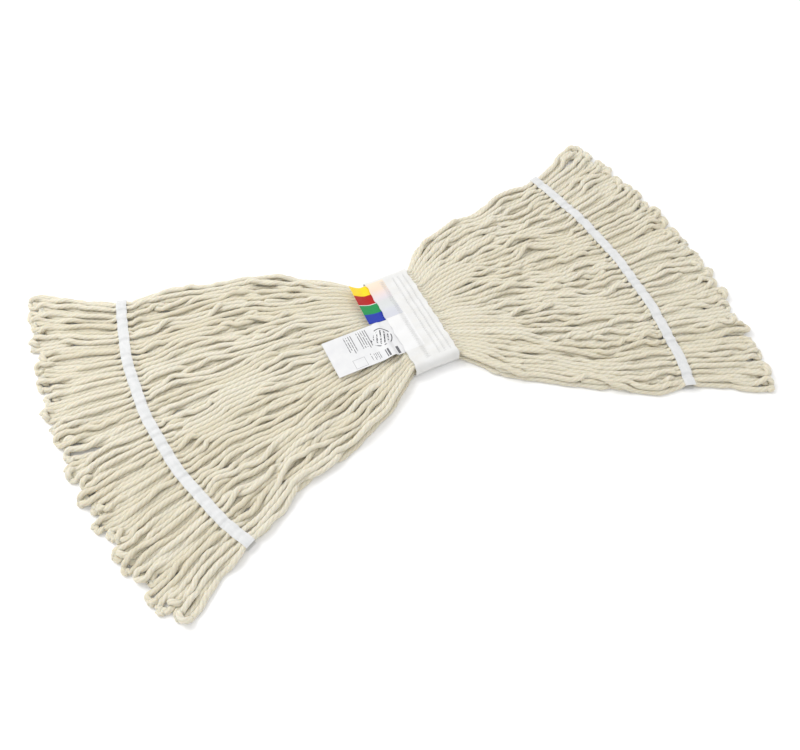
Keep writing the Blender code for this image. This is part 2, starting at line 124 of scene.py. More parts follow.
def skirt_plan(side, t, share):
    """Plan points of a skirt's flow lines: t runs from 0 in the headband to 1 at the tape's middle line."""
    sign = SIGN[side]
    half = BAND_HALF_WIDTH - STRIP_THICKNESS - YARN_DIAMETER / 2
    zero = np.zeros_like(share)
    p0 = HUB + np.stack([zero + sign * STRAIGHT_END, share * half], -1)
    p3, outward = tape_point(side, share, zero - TAPE_RUN_IN)
    span = np.linalg.norm(p3 - p0, axis=-1)
    leaving = edge_angle(FAN, side, share) * share
    hook = -sign * edge_angle(HOOK, side, share) * share * np.abs(share)
    p1 = p0 + np.stack([sign * np.cos(leaving), np.sin(leaving)], -1) * (span * 0.36)[..., None]
    arriving = np.stack(
        [
            outward[..., 0] * np.cos(hook) - outward[..., 1] * np.sin(hook),
            outward[..., 0] * np.sin(hook) + outward[..., 1] * np.cos(hook),
        ],
        -1,
    )
    p2 = p3 - arriving * (span * 0.30)[..., None]
    first = STRAIGHT_END - MOUTH_X
    total = first + span + TAPE_RUN_IN
    way = t * total
    s = np.clip((way - first) / span, 0, 1)[..., None]
    curve = p0 * (1 - s) ** 3 + p1 * 3 * s * (1 - s) ** 2 + p2 * 3 * s * s * (1 - s) + p3 * s**3
    before = np.minimum(way - first, 0)[..., None] * np.array([sign, 0.0])
    after = np.maximum(way - first - span, 0)[..., None] * outward
    return curve + before + after


def fringe_plan(side, out, share):
    spot, outward = tape_point(side, share, out)
    across = np.stack([-outward[..., 1], outward[..., 0]], -1) * SIGN[side]
    past = np.maximum(out - 0.012, 0)
    return spot + across * (past * np.tan(edge_angle(LEAN, side, share) * share))[..., None], across


def wave(t, count, low, high, rng):
    """A smooth wander along t, of unit size, from a few sines of random phase."""
    total = np.zeros_like(t)
    for _ in range(count):
        total += np.sin(2 * math.pi * (t * rng.uniform(low, high) + rng.uniform())) * rng.uniform(0.5, 1.0)
    return total / math.sqrt(count)


def tape_slots(rng):
    """Each strand's place across the whole tape, as shares, indexed [bundle, tape column, tape layer]."""
    pitch = 2 / (BUNDLES * COLUMNS)
    column = np.arange(BUNDLES * COLUMNS).reshape(BUNDLES, COLUMNS)
    even = np.stack([(column + 0.75) * pitch - 1, (column + 0.25) * pitch - 1], -1)
    shaken = even + rng.normal(0, 0.20, even.shape) * pitch
    return np.clip(shaken, -1 + pitch / 2, 1 - pitch / 2)


def slots(rng):
    """For one bundle, the mouth column and layer of each strand, indexed [tape column, tape layer]."""
    order = [(column + 0.35 * rng.normal(), column, layer) for column in range(COLUMNS) for layer in (0, 1)]
    order.sort()
    found = {}
    for column in range(MOUTH_COLUMNS):
        group = order[column * MOUTH_LAYERS : (column + 1) * MOUTH_LAYERS]
        group = sorted(group, key=lambda g: g[2] + 0.45 * rng.normal())
        for layer, (_, tape_column, tape_layer) in enumerate(group):
            found[tape_column, tape_layer] = (column, layer)
    return found


def leg(side, bundle, tape_share, layer, mouth, rng):
    """The first guess for one strand from the headband to the tape, as (points, 3)."""
    t = np.linspace(0, 1, LEG_POINTS)
    mouth_column, mouth_layer = mouth
    in_bundle = (mouth_column + 0.5 + 0.25 * (mouth_layer % 2) - 0.125) / MOUTH_COLUMNS
    mouth_share = 2 * (bundle + in_bundle) / BUNDLES - 1
    share = mouth_share + (tape_share - mouth_share) * smooth(t, 0.1, 0.9)
    plan = skirt_plan(side, t, share)
    step = 0.002
    across = skirt_plan(side, t, share + step) - skirt_plan(side, t, share - step)
    across /= np.linalg.norm(across, axis=-1)[:, None]
    free = smooth(t, 0.05, 0.24) * smooth(1 - t, 0.02, 0.09)
    field = 0.0032 * np.sin(2 * math.pi * (1.7 * t + 1.3 * share + 0.6 * SIGN[side]))
    field += 0.0018 * np.sin(2 * math.pi * (3.1 * t - 2.2 * share))
    sway = field + 0.0024 * wave(t, 3, 2.0, 5.0, rng) + 0.0011 * wave(t, 3, 6.0, 11.0, rng)
    lift = 0.0012 * wave(t, 3, 3.0, 8.0, rng)
    if rng.uniform() < 0.22 and layer:
        bump = np.exp(-(((t - rng.uniform(0.4, 0.85)) / rng.uniform(0.07, 0.12)) ** 2))
        inward = -1 if tape_share > 0 else 1
        way = inward if abs(tape_share) > 0.75 else rng.choice([-1, 1])
        sway = sway + bump * way * rng.uniform(0.005, 0.010)
        lift = lift + bump * 0.005
    if rng.uniform() < 0.45:
        slack = np.exp(-(((t - rng.uniform(0.84, 0.94)) / rng.uniform(0.022, 0.042)) ** 2))
        way = (-1 if tape_share > 0 else 1) if abs(tape_share) > 0.9 else rng.choice([-1, 1])
        sway = sway + slack * way * rng.uniform(0.002, 0.006)
        lift = lift + slack * (0.003 if layer else 0.0)
    z_mouth = CORE_LOW + (CORE_HIGH - CORE_LOW) * (mouth_layer + 0.5) / MOUTH_LAYERS
    z_tape = TAPE_YARN_LOW + (TAPE_YARN_HIGH - TAPE_YARN_LOW) * (layer + 0.5) / 2
    height = z_mouth + (z_tape - z_mouth) * smooth(t, 0.1, 1.0)
    plan = plan + across * (sway * free)[:, None]
    return np.column_stack([plan, height + lift * free])


def loop(side, share_a, share_b, layer, rng):
    """The first guess for the loop that joins two strands, from tape to tape."""
    middle = (share_a + share_b) / 2
    far, mid, near = FRINGE[side]
    reach = mid + (far - mid if middle > 0 else near - mid) * abs(middle) ** 1.5
    reach += rng.uniform(-0.013, 0.002)
    half_root = (share_b - share_a) / 2 * TAPE_LENGTH / 2
    radius = LOOP_TURN_RADIUS * rng.uniform(0.85, 1.1)
    q = np.linspace(0, 1, FRINGE_POINTS + 1)[1:]
    out = q * (reach - radius - YARN_DIAMETER / 2)
    half = half_root + (radius - half_root) * smooth(q, 0.55, 1.0)
    turn = np.linspace(0, math.pi, TURN_POINTS + 2)[1:-1]
    out_all = np.concatenate([out, out[-1] + radius * np.sin(turn), out[::-1]])
    side_all = np.concatenate([-half, -radius * np.cos(turn), half[::-1]])
    away = np.concatenate([q, np.ones(TURN_POINTS), q[::-1]])
    plan, across = fringe_plan(side, out_all, np.full(len(out_all), middle))
    sway = 0.0042 * away * wave(away, 2, 0.4, 1.4, rng)
    sway += 0.0022 * away * np.sin(2 * math.pi * (1.1 * away + 2.4 * middle))
    sway += 0.0012 * wave(np.linspace(0, 1, len(away)), 4, 3.0, 11.0, rng) * smooth(away, 0.1, 0.4)
    plan = plan + across * (side_all + sway)[:, None]
    base = TAPE_YARN_LOW + (TAPE_YARN_HIGH - TAPE_YARN_LOW) * (layer + 0.5) / 2
    rest = 0.0032 + 0.0060 * layer
    tilt = math.radians(rng.uniform(-38, 38))
    height = base + (rest - base) * smooth(away, 0.05, 0.3)
    height = height + side_all * math.sin(tilt) * smooth(away, 0.3, 1.0)
    return np.column_stack([plan, np.maximum(height, 0.003)])


def first_routes():
    """One route for each yarn: out along a strand, round its loop and back along the next strand."""
    routes, owners = [], []
    for side in SIDES:
        at_tape = tape_slots(RNG)
        for bundle in range(BUNDLES):
            places = slots(RNG)
            for layer in (0, 1):
                for column in range(0, COLUMNS, 2):
                    first, second = at_tape[bundle, column, layer], at_tape[bundle, column + 1, layer]
                    out = leg(side, bundle, first, layer, places[column, layer], RNG)
                    back = leg(side, bundle, second, layer, places[column + 1, layer], RNG)
                    round_trip = loop(side, first, second, layer, RNG)
                    routes.append(np.vstack([out, round_trip, back[::-1]]))
                    owners.append((side, bundle))
    return np.array(routes), owners


# ---------------- settling the strands on each other
def near_pairs(points, reach):
    """Index pairs of points closer than reach, found by sorting the points into cells."""
    cell = np.floor((points - points.min(0)) / reach).astype(np.int64) + 1
    size = cell.max(0) + 2
    key = (cell[:, 0] * size[1] + cell[:, 1]) * size[2] + cell[:, 2]
    order = np.argsort(key, kind="stable")
    ordered = key[order]
    first, second = [], []
    for dx in (-1, 0, 1):
        for dy in (-1, 0, 1):
            for dz in (-1, 0, 1):
                step = (dx * size[1] + dy) * size[2] + dz
                if step < 0:
                    continue
                low = np.searchsorted(ordered, key + step, "left")
                count = np.searchsorted(ordered, key + step, "right") - low
                i = np.repeat(np.arange(len(points)), count)
                run = np.arange(count.sum()) - np.repeat(np.cumsum(count) - count, count)
                j = order[np.repeat(low, count) + run]
                keep = i < j if step == 0 else np.ones(len(i), bool)
                first.append(i[keep])
                second.append(j[keep])
    i, j = np.concatenate(first), np.concatenate(second)
    close = ((points[i] - points[j]) ** 2).sum(1) < reach * reach
    return i[close], j[close]


def contact_radius():
    """Along a route, the radius at which strands touch: squeezed in the headband and between the tapes."""
    index = np.arange(HALF)
    half = np.full(HALF, FREE_RADIUS)
    half -= (FREE_RADIUS - MOUTH_RADIUS) * (1 - smooth(index, 1, 7))
    half -= (FREE_RADIUS - TAPE_PINCH_RADIUS) * pinched(index)
    return np.concatenate([half, np.full(TURN_POINTS, FREE_RADIUS), half[::-1]])


def pinched(index):
    """How much the tapes squeeze a route, from 0 to 1, by its points counted from the nearer end."""
    return 1 - smooth(np.abs(index - (LEG_POINTS - 1)) / TAPE_PINCH_POINTS, 0.3, 1.0)


# In each round of settling: how much a route straightens, sinks, and goes back to its first plan.
STRAIGHTEN, SINK, RETURN = 0.10, 0.00004, 0.012
CONTACT_REACH = 0.0068  # points farther apart than this can't touch before the next search


def settle(routes, rounds):
    """Moves the points until strands lie on each other and on the floor, keeping each one's length."""
    count, points = routes.shape[:2]
    pos = routes.copy()
    length = np.linalg.norm(np.diff(routes, axis=1), axis=-1)
    length = np.maximum(length, 0.6 * np.median(length, axis=1)[:, None])
    radius = np.tile(contact_radius(), (count, 1))
    index = np.arange(points)
    mirror = np.minimum(index, points - 1 - index)
    pinned = (mirror < 2) | (np.abs(mirror - (LEG_POINTS - 1)) <= 1)
    loose = np.where(pinned, 0.0, 1.0)[None, :, None]
    flat_radius = radius.ravel()
    route_of = np.repeat(np.arange(count), points)
    place_of = np.tile(index, count)
    weight = np.tile(np.where(pinned, 0.0, 1.0), count)
    for turn in range(rounds):
        if turn % 8 == 0:
            i, j = near_pairs(pos.reshape(-1, 3), CONTACT_REACH)
            apart = (route_of[i] != route_of[j]) | (np.abs(place_of[i] - place_of[j]) > 3)
            i, j = i[apart], j[apart]
            touch = flat_radius[i] + flat_radius[j]
        flat = pos.reshape(-1, 3)
        gap = flat[i] - flat[j]
        distance = np.sqrt((gap**2).sum(1)) + 1e-9
        over = touch - distance
        hit = over > 0
        push = gap[hit] * (over[hit] / distance[hit] * 0.5)[:, None]
        a, b = i[hit], j[hit]
        total = len(flat)
        hits = np.bincount(a, minlength=total) + np.bincount(b, minlength=total)
        move = np.empty_like(flat)
        for axis in range(3):
            move[:, axis] = np.bincount(a, push[:, axis], total) - np.bincount(b, push[:, axis], total)
        move *= (1.5 / np.maximum(hits, 1.5) * weight)[:, None]
        flat += move
        fade = 1.0 - turn / rounds
        bend = 0.5 * (np.roll(pos, 1, 1) + np.roll(pos, -1, 1)) - pos
        pos += loose * STRAIGHTEN * fade * bend * inner_mask(points)
        pos[..., 2] -= SINK * loose[..., 0]
        pos[..., :2] += RETURN * (routes - pos)[..., :2] * loose
        for start in (0, 1):
            a_side, b_side = pos[:, start:-1:2], pos[:, start + 1 :: 2]
            a_side = a_side[:, : b_side.shape[1]]
            span = b_side - a_side
            now = np.linalg.norm(span, axis=-1) + 1e-9
            stretch = (now - length[:, start::2][:, : now.shape[1]]) / now
            wa = loose[:, start:-1:2][:, : now.shape[1]]
            wb = loose[:, start + 1 :: 2]
            share = np.maximum(wa + wb, 1e-9)
            a_side += span * stretch[..., None] * wa / share
            b_side -= span * stretch[..., None] * wb / share
        pos[..., 2] = np.maximum(pos[..., 2], radius)
    return pos


def inner_mask(points):
    mask = np.ones(points)
    mask[[0, -1]] = 0.0
    return mask[None, :, None]


def refined(routes):
    """Twice as many points along each route, on smooth curves through the settled ones."""
    before = np.concatenate([2 * routes[:, :1] - routes[:, 1:2], routes[:, :-2]], 1)
    here, after = routes[:, :-1], routes[:, 1:]
    later = np.concatenate([routes[:, 2:], 2 * routes[:, -1:] - routes[:, -2:-1]], 1)
    middle = (9 * (here + after) - before - later) / 16
    fine = np.empty((routes.shape[0], 2 * routes.shape[1] - 1, 3))
    fine[:, 0::2] = routes
    fine[:, 1::2] = middle
    return fine


# ---------------- twisted yarn
# How wide a strand is drawn against its touching radius, and how far it is flattened, in each layer.
LOWER_WIDTH, UPPER_WIDTH = 1.22, 1.13
LOWER_FLATNESS, UPPER_FLATNESS = 0.83, 0.89
DECLARED_YARN = 4  # the yarn of each bundle whose strand and loop are pieces of their own
RING = 16
PLIES = 4
PLY_RADIUS = 0.71  # of the strand's radius
TWIST_PITCH = 0.031


def strand_sections(paths, radius, flatten):
    """Vertices round each path, as four twisted plies: (routes, points, RING, 3), and the way along."""
    count, points = paths.shape[:2]
    tangent = np.gradient(paths, axis=1)
    tangent /= np.linalg.norm(tangent, axis=-1)[..., None]
    side = np.cross(tangent[:, 0], [0.0, 0.0, 1.0])
    side /= np.linalg.norm(side, axis=-1)[:, None]
    sides = np.empty_like(paths)
    for k in range(points):
        side = side - tangent[:, k] * (side * tangent[:, k]).sum(-1)[:, None]
        side /= np.linalg.norm(side, axis=-1)[:, None]
        sides[:, k] = side
    up = np.cross(sides, tangent)
    way = np.zeros((count, points))
    way[:, 1:] = np.cumsum(np.linalg.norm(np.diff(paths, axis=1), axis=-1), axis=1)
    start = RNG.uniform(0, 2 * math.pi, count)[:, None]
    slub = 1 + 0.035 * np.sin(way / 0.043 + 3 * start) + 0.025 * np.sin(way / 0.019 + 5 * start)
    around = np.arange(RING) * 2 * math.pi / RING
    off = (around + math.pi / PLIES) % (2 * math.pi / PLIES) - math.pi / PLIES
    inner = 1 - PLY_RADIUS
    lobe = inner * np.cos(off) + np.sqrt(PLY_RADIUS**2 - (inner * np.sin(off)) ** 2)
    angle = around[None, None] + (start + 2 * math.pi * way / TWIST_PITCH)[..., None]
    size = (radius * slub)[..., None] * lobe[None, None]
    offset = (np.cos(angle) * size)[..., None] * sides[:, :, None]
    offset = offset + (np.sin(angle) * size)[..., None] * up[:, :, None]
    offset[..., 2] *= flatten[..., None]
    offset[..., :2] *= (1 + 0.6 * (1 - flatten))[..., None, None]
    return paths[:, :, None] + offset, way


def smooth_mesh(name, verts, corners, starts, uv):
    """A mesh from arrays: each face's corners in turn, where each face starts, and a uv for each corner."""
    mesh = bpy.data.meshes.new(name)
    mesh.vertices.add(len(verts))
    mesh.vertices.foreach_set("co", verts.astype(np.float32).ravel())
    mesh.loops.add(len(corners))
    mesh.loops.foreach_set("vertex_index", corners.astype(np.int32))
    mesh.polygons.add(len(starts))
    mesh.polygons.foreach_set("loop_start", starts.astype(np.int32))
    mesh.update(calc_edges=True)
    layer = mesh.uv_layers.new(name="UVMap")
    layer.data.foreach_set("uv", uv.astype(np.float32).ravel())
    mesh.shade_smooth()
    return mesh


def tube_mesh(name, blocks):
    """One mesh of closed tubes. Each block is (vertices (n, ring, 3), way (n,), tone)."""
    verts, quads, caps, uvs, tones = [], [], [], [], []
    base = 0
    for block, way, tone in blocks:
        n, ring = block.shape[:2]
        verts.append(block.reshape(-1, 3))
        rows = np.arange(n - 1)[:, None] * ring + base
        k = np.arange(ring)[None]
        nxt = (k + 1) % ring
        face = np.stack([rows + k, rows + nxt, rows + ring + nxt, rows + ring + k], -1)
        quads.append(face.reshape(-1, 4))
        u0 = np.broadcast_to(k / ring, (n - 1, ring))
        u1 = u0 + 1.0 / ring
        v0 = np.broadcast_to(way[:-1, None], (n - 1, ring))
        v1 = np.broadcast_to(way[1:, None], (n - 1, ring))
        uv = np.stack([u0, v0, u1, v0, u1, v1, u0, v1], -1)
        uvs.append(uv.reshape(-1, 2))
        caps.append(base + np.arange(ring)[::-1])
        caps.append(base + (n - 1) * ring + np.arange(ring))
        tones.append(np.full(n * ring, tone))
        base += n * ring
    ring = len(caps[0])
    verts, quads, caps = np.vstack(verts), np.vstack(quads), np.array(caps)
    corners = np.concatenate([quads.ravel(), caps.ravel()])
    starts = np.concatenate([np.arange(len(quads)) * 4, 4 * len(quads) + np.arange(len(caps)) * ring])
    mesh = smooth_mesh(name, verts, corners, starts, np.vstack([*uvs, np.zeros((caps.size, 2))]))
    attribute = mesh.attributes.new("tone", "FLOAT", "POINT")
    attribute.data.foreach_set("value", np.concatenate(tones).astype(np.float32))
    return mesh


def add_piece(name, mesh, material):
    mesh.materials.append(material)
    obj = bpy.data.objects.new(name, mesh)
    bpy.context.scene.collection.objects.link(obj)
    return obj


# ---------------- materials
class Shader:
    """A small helper for building one material's nodes."""

    def __init__(self, name, colour, roughness, sheen=0.0):
        self.material = bpy.data.materials.new(name)
        self.material.use_nodes = True
        self.tree = self.material.node_tree
        self.main = self.tree.nodes["Principled BSDF"]
        self.main.inputs["Base Color"].default_value = (*colour, 1.0)
        self.main.inputs["Roughness"].default_value = roughness
        self.main.inputs["Sheen Weight"].default_value = sheen
        self.main.inputs["Sheen Roughness"].default_value = 0.5
        self.main.inputs["Specular IOR Level"].default_value = 0.25

    def node(self, kind, **settings):
        made = self.tree.nodes.new(kind)
        for key, value in settings.items():
            setattr(made, key, value)
        return made

    def link(self, source, target):
        if hasattr(source, "links"):
            self.tree.links.new(source, target)
        else:
            target.default_value = source

    def math(self, operation, a, b=0.0, c=0.0, clamp=False):
        made = self.node("ShaderNodeMath", operation=operation, use_clamp=clamp)
        for socket, value in zip(made.inputs, (a, b, c)):
            self.link(value, socket)
        return made.outputs[0]

    def mul(self, a, b):
        return self.math("MULTIPLY", a, b)

    def add(self, a, b):
        return self.math("ADD", a, b)

    def sub(self, a, b):
        return self.math("SUBTRACT", a, b)

    def above(self, value, low):
        return self.math("GREATER_THAN", value, low)

    def below(self, value, high):
        return self.math("LESS_THAN", value, high)

    def noise(self, vector, scale, detail=2.0, roughness=0.5):
        made = self.node("ShaderNodeTexNoise")
        made.inputs["Scale"].default_value = scale
        made.inputs["Detail"].default_value = detail
        made.inputs["Roughness"].default_value = roughness
        self.link(vector, made.inputs["Vector"])
        return made.outputs["Fac"]

    def ramp(self, value, stops, interpolation="LINEAR"):
        made = self.node("ShaderNodeValToRGB")
        ramp = made.color_ramp
        ramp.interpolation = interpolation
        while len(ramp.elements) < len(stops):
            ramp.elements.new(0.5)
        for element, (place, colour) in zip(ramp.elements, stops):
            element.position = place
            element.color = (*colour, 1.0)
        self.link(value, made.inputs["Fac"])
        return made.outputs["Color"]

    def mix(self, factor, a, b, mode="MIX"):
        made = self.node("ShaderNodeMix", data_type="RGBA", blend_type=mode)
        for socket, value in ((made.inputs[0], factor), (made.inputs[6], a), (made.inputs[7], b)):
            if isinstance(value, tuple):
                value = (*value, 1.0)
            self.link(value, socket)
        return made.outputs[2]

    def join(self, x, y, z):
        made = self.node("ShaderNodeCombineXYZ")
        for socket, value in zip(made.inputs, (x, y, z)):
            self.link(value, socket)
        return made.outputs[0]

    def scaled(self, x, x_scale, y, y_scale, z=0.0):
        """A place for a texture, from two coordinates and a scale for each."""
        return self.join(self.mul(x, x_scale), self.mul(y, y_scale), z)

    def uv(self):
        split = self.node("ShaderNodeSeparateXYZ")
        self.link(self.node("ShaderNodeUVMap").outputs[0], split.inputs[0])
        return split.outputs[0], split.outputs[1]

    def bump(self, height, distance, strength=1.0):
        made = self.node("ShaderNodeBump")
        made.inputs["Distance"].default_value = distance
        made.inputs["Strength"].default_value = strength
        self.link(height, made.inputs["Height"])
        self.link(made.outputs[0], self.main.inputs["Normal"])

    def colour(self, value):
        self.link(value, self.main.inputs["Base Color"])


def yarn_material():
    """Undyed cotton: fibres that run with the twist, painted shade in the grooves between plies, and a tone
    for each strand.
    """
    s = Shader("cotton yarn", (0.84, 0.79, 0.66), 0.92, sheen=0.12)
    u, v = s.uv()
    turn = s.mul(u, 2 * math.pi)
    ring = s.scaled(s.math("COSINE", turn), 3.0, s.math("SINE", turn), 3.0, s.mul(v, 240.0))
    fibres = s.noise(ring, 2.2, 3.0, 0.65)
    tone = s.node("ShaderNodeAttribute", attribute_name="tone").outputs["Fac"]
    patch = s.noise(s.scaled(tone, 50.0, v, 14.0), 1.0, 2.0)
    shade = s.add(s.mul(tone, 0.55), s.mul(patch, 0.45))
    tones = [
        (0.15, (0.690, 0.645, 0.515)),
        (0.5, (0.725, 0.685, 0.565)),
        (0.85, (0.755, 0.722, 0.615)),
    ]
    base = s.ramp(shade, tones)
    # Painted shade: the grooves between the four plies are darkened towards a brown, more where the fibre
    # noise is high.
    groove = s.math("MULTIPLY_ADD", s.math("COSINE", s.mul(u, 8 * math.pi)), -0.5, 0.5)
    groove_shade = s.mul(s.math("POWER", groove, 2.0), s.math("MULTIPLY_ADD", fibres, 0.45, 0.10))
    base = s.mix(groove_shade, base, (0.50, 0.45, 0.33))
    streak = s.ramp(fibres, [(0.30, (0.80, 0.76, 0.68)), (0.62, (1.0, 1.0, 1.0))])
    s.colour(s.mix(0.55, base, streak, "MULTIPLY"))
    s.bump(fibres, 0.0005, 0.5)
    s.main.inputs["Subsurface Weight"].default_value = 0.30
    s.main.inputs["Subsurface Radius"].default_value = (1.0, 0.75, 0.45)
    s.main.inputs["Subsurface Scale"].default_value = 0.0025
    return s.material


# ---------------- building the yarn
def build_yarn(material):
    """Makes each bundle's strands and loops, and returns the settled routes."""
    routes, owners = first_routes()
    fine = refined(settle(routes, 240))
    count, points = fine.shape[:2]
    index = np.arange(points) / 2
    contact = np.interp(index, np.arange(ROUTE_POINTS), contact_radius())
    under_tape = pinched(np.minimum(index, ROUTE_POINTS - 1 - index))
    lower = (np.arange(count) % COLUMNS < COLUMNS // 2)[:, None]
    radius = contact[None] * np.where(lower, LOWER_WIDTH, UPPER_WIDTH) + 0.0005 * under_tape
    flatten = np.where(lower, LOWER_FLATNESS, UPPER_FLATNESS) - 0.15 * under_tape
    sections, way = strand_sections(fine, radius, flatten)
    for side in SIDES:
        for bundle in range(BUNDLES):
            mine = [r for r, owner in enumerate(owners) if owner == (side, bundle)]
            build_bundle(side, bundle + 1, [(sections[r], way[r], fine[r]) for r in mine], material)
    return fine


def build_bundle(side, number, yarns, material):
    """One bundle of strands and its loops. Each yarn is (vertices, way, path)."""
    strands, loops = [], []
    for k, (section, way, path) in enumerate(yarns):
        tone = RNG.uniform()
        tape_a = 2 * (LEG_POINTS - 1)
        tape_b = len(path) - 1 - tape_a
        out = (section[: tape_a + 1], way[: tape_a + 1], tone)
        turn = (section[tape_a : tape_b + 1], way[tape_a : tape_b + 1] - way[tape_a], tone)
        back = (section[tape_b:][::-1, ::-1], way[-1] - way[tape_b:][::-1], tone)
        if k == DECLARED_YARN:
            add_strand(f"{side}_strand_{number}", out, side, None, material)
            add_strand(f"{side}_loop_{number}", turn, side, number, material)
        else:
            strands.append(out)
            loops.append(turn)
        strands.append(back)
    name = f"{side}_strands_{number}"
    piece = add_piece(name, tube_mesh(name, strands), material)
    blend_at_fold(piece)
    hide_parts(f"{side}_yarn_bundle_{number}")
    name = f"{side}_loops_{number}_yarn"
    piece = add_piece(name, tube_mesh(name, loops), material)
    blend_at_tape(piece)
    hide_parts(f"{side}_loop_bundle_{number}")


def blend_at_fold(piece):
    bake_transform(piece)


def blend_at_tape(piece):
    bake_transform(piece)


def add_strand(name, block, side, number, material):
    """A strand or loop as a piece of its own."""
    piece = add_piece(name, tube_mesh(name, [block]), material)
    if number is None:
        blend_at_fold(piece)
        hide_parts(f"{side}_yarn_bundle_{name.rsplit('_', 1)[1]}")
    else:
        blend_at_tape(piece)
        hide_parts(f"{side}_loop_bundle_{number}")


def build_core(routes, material):
    """The strands inside the headband, from one skirt's first point to the other's."""
    blocks = []
    starts = np.vstack([routes[:, 0], routes[:, -1]])
    left = starts[starts[:, 0] < HUB[0]]
    x = np.linspace(-MOUTH_X - 0.0004, MOUTH_X + 0.0004, 12)
    for spot in left:
        path = np.column_stack([HUB[0] + x, np.full(12, spot[1]), np.full(12, spot[2])])
        around = np.arange(8) * math.pi / 4
        ring = np.stack([np.zeros(8), np.cos(around), np.sin(around)], -1) * 0.0023
        blocks.append((path[:, None] + ring[None], x - x[0], 0.5))
    piece = add_piece("headband_yarn", tube_mesh("headband_yarn", blocks), material)
    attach(piece, "headband")
    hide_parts("yarn_core")


# ---------------- floor, light and camera
def stage():
    mesh = bpy.data.meshes.new("floor")
    size = 60.0
    corners = [(-size, -size, 0), (size, -size, 0), (size, size, 0), (-size, size, 0)]
    mesh.from_pydata(corners, [], [(0, 1, 2, 3)])
    floor = bpy.data.objects.new("floor", mesh)
    bpy.context.scene.collection.objects.link(floor)
    material = bpy.data.materials.new("pale floor")
    material.use_nodes = True
    shader = material.node_tree.nodes["Principled BSDF"]
    shader.inputs["Base Color"].default_value = (0.93, 0.93, 0.93, 1)
    shader.inputs["Roughness"].default_value = 0.8
    mesh.materials.append(material)
    world = bpy.data.worlds.new("studio")
    world.use_nodes = True
    world.node_tree.nodes["Background"].inputs[0].default_value = (1, 1, 1, 1)
    world.node_tree.nodes["Background"].inputs[1].default_value = 0.93
    bpy.context.scene.world = world
    lights = (("key", (-0.9, 1.0, 1.6), 1.1, 20.5), ("fill", (1.2, -0.9, 1.6), 2.0, 3.0))
    for name, spot, size, power in lights:
        light = bpy.data.lights.new(name, "AREA")
        light.size = size
        light.energy = power
        obj = bpy.data.objects.new(name, light)
        obj.location = spot
        obj.rotation_mode = "QUATERNION"
        obj.rotation_quaternion = (-Vector(spot)).to_track_quat("-Z", "Y")
        bpy.context.scene.collection.objects.link(obj)
    bpy.context.scene.view_settings.view_transform = "Standard"


def camera():
    data = bpy.data.cameras.new("camera")
    data.lens = 36.0
    data.sensor_width = 36.0
    data.clip_start, data.clip_end = 0.01, 50.0
    obj = bpy.data.objects.new("camera", data)
    bpy.context.scene.collection.objects.link(obj)
    azimuth, elevation, distance = math.radians(-26.0), math.radians(55.0), 0.924
    target = Vector((HUB[0] - 0.0425, HUB[1] - 0.0605, 0.0))
    back = Vector(
        (
            math.sin(azimuth) * math.cos(elevation),
            -math.cos(azimuth) * math.cos(elevation),
            math.sin(elevation),
        )
    )
    obj.location = target + back * distance
    obj.rotation_mode = "QUATERNION"
    obj.rotation_quaternion = (-back).to_track_quat("-Z", "Y")
    bpy.context.scene.camera = obj


# ---------------- sheets
def slab(name, middle, normal, thickness, uv):
    """A closed sheet of even thickness about a grid of middle points (rows, columns, 3)."""
    rows, columns = middle.shape[:2]
    count = rows * columns
    half = normal * thickness / 2
    verts = np.concatenate([(middle + half).reshape(-1, 3), (middle - half).reshape(-1, 3)])
    index = np.arange(count).reshape(rows, columns)
    top = np.stack([index[:-1, :-1], index[1:, :-1], index[1:, 1:], index[:-1, 1:]], -1).reshape(-1, 4)
    walls = []
    for edge in (index[0], index[:, -1], index[-1, ::-1], index[::-1, 0]):
        walls.append(np.stack([edge[:-1], edge[1:], edge[1:] + count, edge[:-1] + count], -1))
    faces = np.concatenate([top, top[:, ::-1] + count, *walls])
    corner_uv = np.concatenate([uv.reshape(-1, 2)] * 2)[faces.ravel()]
    mesh = smooth_mesh(name, verts, faces.ravel(), np.arange(len(faces)) * 4, corner_uv)
    mesh.set_sharp_from_angle(angle=math.radians(50))
    return mesh


def grid_normals(middle):
    across = np.gradient(middle, axis=0)
    along = np.gradient(middle, axis=1)
    normal = np.cross(across, along)
    return normal / np.linalg.norm(normal, axis=-1)[..., None]


def stitches(name, ends, lift, radius, material):
    """A row of stitches, each a thread that arches between two points. Lift is below 0 underneath."""
    blocks = []
    rings, ring = 7, 6
    t = np.linspace(0, 1, rings)
    around = np.arange(ring) * 2 * math.pi / ring
    for a, b in ends:
        a, b = np.array(a), np.array(b)
        along = (b - a) / np.linalg.norm(b - a)
        side = np.cross(along, [0, 0, 1.0])
        side /= np.linalg.norm(side)
        up = np.cross(side, along)
        arch = abs(lift) * (1 - (2 * t - 1) ** 4) - 0.6 * lift
        path = a + (b - a) * t[:, None] + up * arch[:, None]
        fat = radius * (0.75 + 0.25 * np.sin(math.pi * t))
        offset = np.cos(around)[None, :, None] * side + np.sin(around)[None, :, None] * up
        blocks.append((path[:, None] + offset * fat[:, None, None], t * np.linalg.norm(b - a), 0.5))
    return add_piece(name, tube_mesh(name, blocks), material)


# ---------------- headband
# Each seam's place across the headband, the width of its zigzag and its pitch.
SEAM_ROWS = (
    (-0.0080, 0.0060, 0.0030),
    (0.0070, 0.0024, 0.0030),
    (0.0140, 0.0024, 0.0030),
    (0.0210, 0.0024, 0.0030),
)
SEAM_REACH = 0.064
STRIP_CORNER = 0.0060
STRIP_LAP = 0.050
LABEL_Y = (-0.04585, 0.00715)
TAB_Y = (0.00765, 0.06595)
BAND_EDGE = 0.028  # the headband's edge, from its middle
LIFT_X = 0.035  # the fold where the label and the ribbon lift, from the headband's middle
LIFT_Z = 0.01795
ROOT_Z = 0.01765  # the sewn ends, just under the strip's upper run


